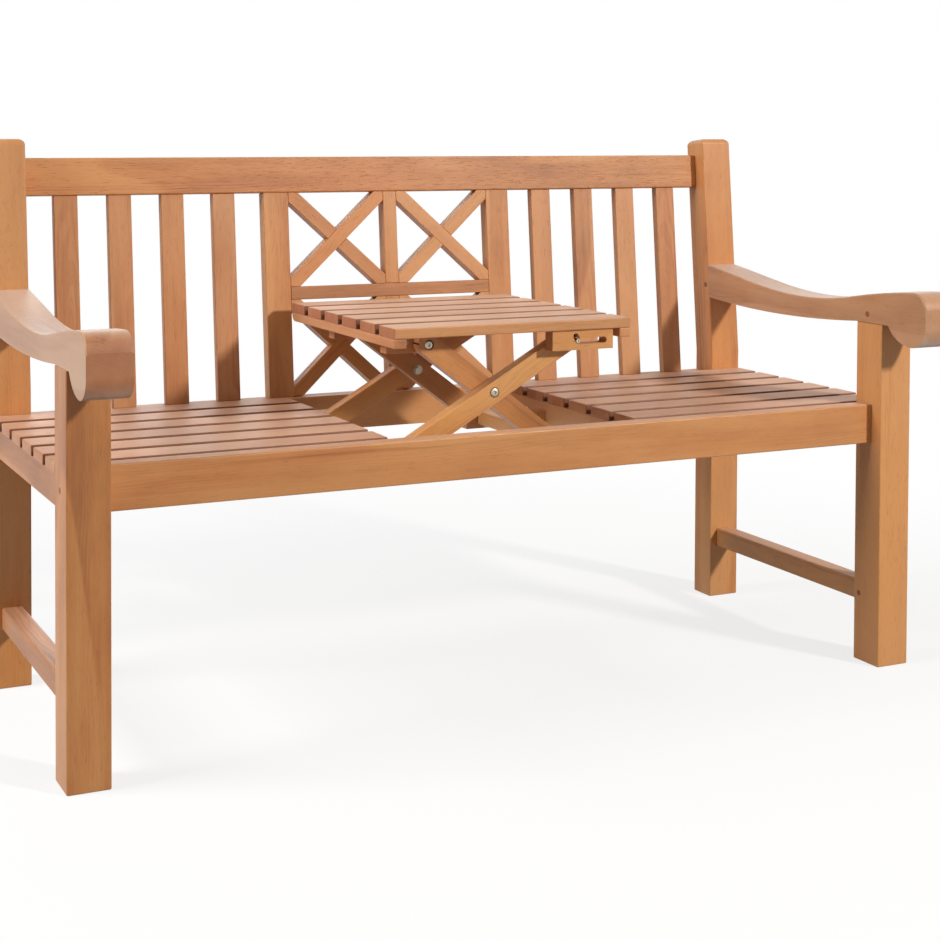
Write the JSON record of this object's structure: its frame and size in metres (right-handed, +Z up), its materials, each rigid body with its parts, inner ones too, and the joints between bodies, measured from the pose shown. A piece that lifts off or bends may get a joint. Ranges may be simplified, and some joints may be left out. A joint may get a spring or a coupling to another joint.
{
  "type": "companion seat bench",
  "caption": "Slatted wooden garden bench for two, with a lattice-centred back and a scissor-legged table that rises between the seats or folds flush into the seat.",
  "frame": {"origin": "centre of the bounding box at floor level, under the middle of the bench", "axes": "+X along the bench to the right as seen from the front, +Y towards the back, +Z up"},
  "size_m": [1.5, 0.7029, 0.9191],
  "materials": {
    "frame_teak": "oiled, satin",
    "seat_teak": "oiled, satin",
    "back_teak": "oiled, satin",
    "table_teak": "oiled, satin",
    "scissor_teak": "oiled, satin",
    "plug_wood": "oiled end grain",
    "zinc_steel": "zinc plated"
  },
  "bodies": {
    "frame": {"arm_left": "frame_teak", "arm_right": "frame_teak", "back_post_left": "frame_teak", "back_post_right": "frame_teak", "back_rail": "frame_teak", "back_slat_left_1": "back_teak", "back_slat_left_2": "back_teak", "back_slat_left_3": "back_teak", "back_slat_left_4": "back_teak", "back_slat_right_1": "back_teak", "back_slat_right_2": "back_teak", "back_slat_right_3": "back_teak", "back_slat_right_4": "back_teak", "batten_rests": "scissor_teak", "divider_left": "frame_teak", "divider_right": "frame_teak", "foot_guides": "scissor_teak", "front_leg_left": "frame_teak", "front_leg_right": "frame_teak", "front_rail": "frame_teak", "joint_plugs": "plug_wood", "lattice_cross_lower_left": "back_teak", "lattice_cross_lower_right": "back_teak", "lattice_cross_upper_left": "back_teak", "lattice_cross_upper_right": "back_teak", "lattice_rail": "back_teak", "lattice_stile_left": "back_teak", "lattice_stile_lower": "back_teak", "lattice_stile_right": "back_teak", "lattice_stile_upper": "back_teak", "leg_pivot_blocks": "scissor_teak", "leg_pivot_bolts": "zinc_steel", "seat_slats_left": "seat_teak", "seat_slats_right": "seat_teak", "side_rail_left": "frame_teak", "side_rail_right": "frame_teak", "stretcher_left": "frame_teak", "stretcher_right": "frame_teak", "top_rail": "frame_teak"},
    "outer_legs": {"outer_leg_front": "scissor_teak", "outer_leg_rear": "scissor_teak", "top_pins": "zinc_steel"},
    "inner_legs": {"inner_leg_front": "scissor_teak", "inner_leg_rear": "scissor_teak", "scissor_bolts": "zinc_steel", "foot_rod": "zinc_steel", "cross_bar": "scissor_teak"},
    "table": {"table_batten_left": "table_teak", "table_batten_right": "table_teak", "table_blocks": "scissor_teak", "table_bolts": "zinc_steel", "table_guides": "scissor_teak", "table_slat_1": "table_teak", "table_slat_2": "table_teak", "table_slat_3": "table_teak", "table_slat_4": "table_teak", "table_slat_5": "table_teak", "table_slat_6": "table_teak", "block_screws": "zinc_steel"}
  },
  "joints": [
    {"name": "outer_leg_pivot", "type": "hinge", "parent": "frame", "child": "outer_legs", "pos_m": [-0.18, 0.0214, 0.4235], "axis": [0, 1, 0], "range_deg": [0, 29.37]},
    {"name": "scissor_crossing", "type": "hinge", "parent": "outer_legs", "child": "inner_legs", "pos_m": [-0.02299, 0.0214, 0.51187], "axis": [0, 1, 0], "range_deg": [-66.2, 0.05]},
    {"name": "table_pivot", "type": "hinge", "parent": "inner_legs", "child": "table", "pos_m": [-0.1295, 0.0214, 0.5915], "axis": [0, 1, 0], "range_deg": [-0.05, 36.83]}
  ],
  "couplings": [
    {"joint": "scissor_crossing", "follows": "outer_leg_pivot", "ratio": -2.2523},
    {"joint": "table_pivot", "follows": "outer_leg_pivot", "ratio": 1.2524}
  ]
}
